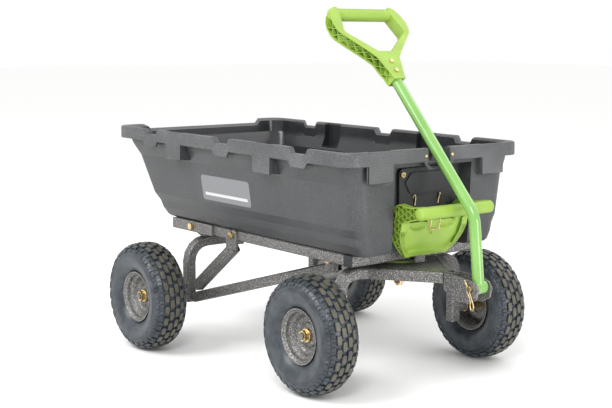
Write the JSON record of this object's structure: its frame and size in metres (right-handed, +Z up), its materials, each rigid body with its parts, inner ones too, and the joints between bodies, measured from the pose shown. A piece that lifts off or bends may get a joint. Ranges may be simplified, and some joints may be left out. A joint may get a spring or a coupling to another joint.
{
  "type": "garden dump cart",
  "caption": "Garden cart with a moulded tipping tub, steered front axle, swinging pull handle with a D grip, release lever and pneumatic wheels.",
  "frame": {"origin": "centre of the cart on the ground, with the pull handle parked on the tub", "axes": "+X towards the pull handle, +Y to the cart's left, +Z up"},
  "size_m": [1.088, 0.716, 0.8176],
  "materials": {
    "tub_poly": "textured rotomoulded polyethylene",
    "hammered_paint": "grey hammertone powder coat",
    "green_paint": "gloss powder coat",
    "lime_plastic": "satin moulded",
    "black_plastic": "satin moulded",
    "yellow_zinc": "yellow zinc plate",
    "tyre_rubber": "moulded rubber"
  },
  "bodies": {
    "chassis": {"rear_axle_arch": "hammered_paint", "tilt_pivot_bolt_r": "yellow_zinc", "tilt_pivot_bolt_l": "yellow_zinc", "diagonal_brace_r": "hammered_paint", "diagonal_brace_l": "hammered_paint", "rest_tab_bolt_r": "yellow_zinc", "rest_tab_bolt_l": "yellow_zinc", "lower_beam_r": "hammered_paint", "lower_beam_l": "hammered_paint", "kingpin_carrier": "hammered_paint", "carrier_bolt_r": "yellow_zinc", "carrier_bolt_l": "yellow_zinc", "kingpin_bolt": "yellow_zinc", "kingpin_nut": "yellow_zinc", "kingpin_thrust_disc": "lime_plastic", "axle_washer_rear_r": "yellow_zinc", "axle_washer_rear_l": "yellow_zinc", "axle_nut_rear_r": "yellow_zinc", "axle_nut_rear_l": "yellow_zinc"},
    "steering": {"steering_axle": "hammered_paint", "tongue_clevis": "hammered_paint", "axle_washer_front_r": "yellow_zinc", "axle_washer_front_l": "yellow_zinc", "axle_nut_front_r": "yellow_zinc", "axle_nut_front_l": "yellow_zinc"},
    "tub_body": {"tub": "tub_poly", "side_rail_r": "hammered_paint", "side_rail_l": "hammered_paint", "rail_splice_r": "hammered_paint", "rail_splice_l": "hammered_paint", "rail_splice_bolt_r": "yellow_zinc", "rail_splice_bolt_l": "yellow_zinc", "front_cross_rail": "hammered_paint", "rail_end_cap_r": "black_plastic", "rail_end_cap_l": "black_plastic", "latch_panel": "black_plastic", "panel_bolt_r": "yellow_zinc", "panel_bolt_l": "yellow_zinc", "lever_pivot_pin": "yellow_zinc"},
    "lever": {"release_lever": "lime_plastic", "latch_spring_bail": "yellow_zinc"},
    "hitch_pin": {"clevis_pin": "yellow_zinc", "hairpin_clip": "yellow_zinc"},
    "handle": {"pull_tube": "green_paint", "d_grip": "lime_plastic", "grip_screw_lower": "yellow_zinc", "grip_screw_upper": "yellow_zinc"},
    "wheel_rear_r": {"tyre_rear_r": "tyre_rubber", "wheel_rim_rear_r": "hammered_paint", "hub_sleeve_rear_r": "yellow_zinc"},
    "wheel_rear_l": {"tyre_rear_l": "tyre_rubber", "wheel_rim_rear_l": "hammered_paint", "hub_sleeve_rear_l": "yellow_zinc"},
    "wheel_front_r": {"tyre_front_r": "tyre_rubber", "wheel_rim_front_r": "hammered_paint", "hub_sleeve_front_r": "yellow_zinc"},
    "wheel_front_l": {"tyre_front_l": "tyre_rubber", "wheel_rim_front_l": "hammered_paint", "hub_sleeve_front_l": "yellow_zinc"}
  },
  "joints": [
    {"name": "tub_tilt", "type": "hinge", "parent": "chassis", "child": "tub_body", "pos_m": [-0.364, 0, 0.287], "axis": [0, 1, 0], "range_deg": [-75, 0]},
    {"name": "steering", "type": "hinge", "parent": "chassis", "child": "steering", "pos_m": [0.272, 0, 0.25], "axis": [0, 0, 1], "range_deg": [-8, 8]},
    {"name": "release_lever_pull", "type": "hinge", "parent": "tub_body", "child": "lever", "pos_m": [0.364, 0, 0.383], "axis": [0, 1, 0], "range_deg": [-14, 0], "stiffness_Nm_per_rad": 1, "springref_deg": 34.38},
    {"name": "hitch_pin_turn", "type": "hinge", "parent": "steering", "child": "hitch_pin", "pos_m": [0.524, 0, 0.24], "axis": [0, 1, 0], "range_deg": [0, 105]},
    {"name": "handle_pitch", "type": "hinge", "parent": "hitch_pin", "child": "handle", "pos_m": [0.524, 0, 0.24], "axis": [0, 1, 0], "range_deg": [0, 140]},
    {"name": "wheel_rear_r_spin", "type": "hinge", "parent": "chassis", "child": "wheel_rear_r", "pos_m": [-0.294, -0.314, 0.13], "axis": [0, 1, 0], "continuous": true},
    {"name": "wheel_rear_l_spin", "type": "hinge", "parent": "chassis", "child": "wheel_rear_l", "pos_m": [-0.294, 0.314, 0.13], "axis": [0, 1, 0], "continuous": true},
    {"name": "wheel_front_r_spin", "type": "hinge", "parent": "steering", "child": "wheel_front_r", "pos_m": [0.272, -0.25, 0.13], "axis": [0, 1, 0], "continuous": true},
    {"name": "wheel_front_l_spin", "type": "hinge", "parent": "steering", "child": "wheel_front_l", "pos_m": [0.272, 0.25, 0.13], "axis": [0, 1, 0], "continuous": true}
  ],
  "couplings": [
    {"joint": "hitch_pin_turn", "follows": "tub_tilt", "ratio": -1.4}
  ]
}
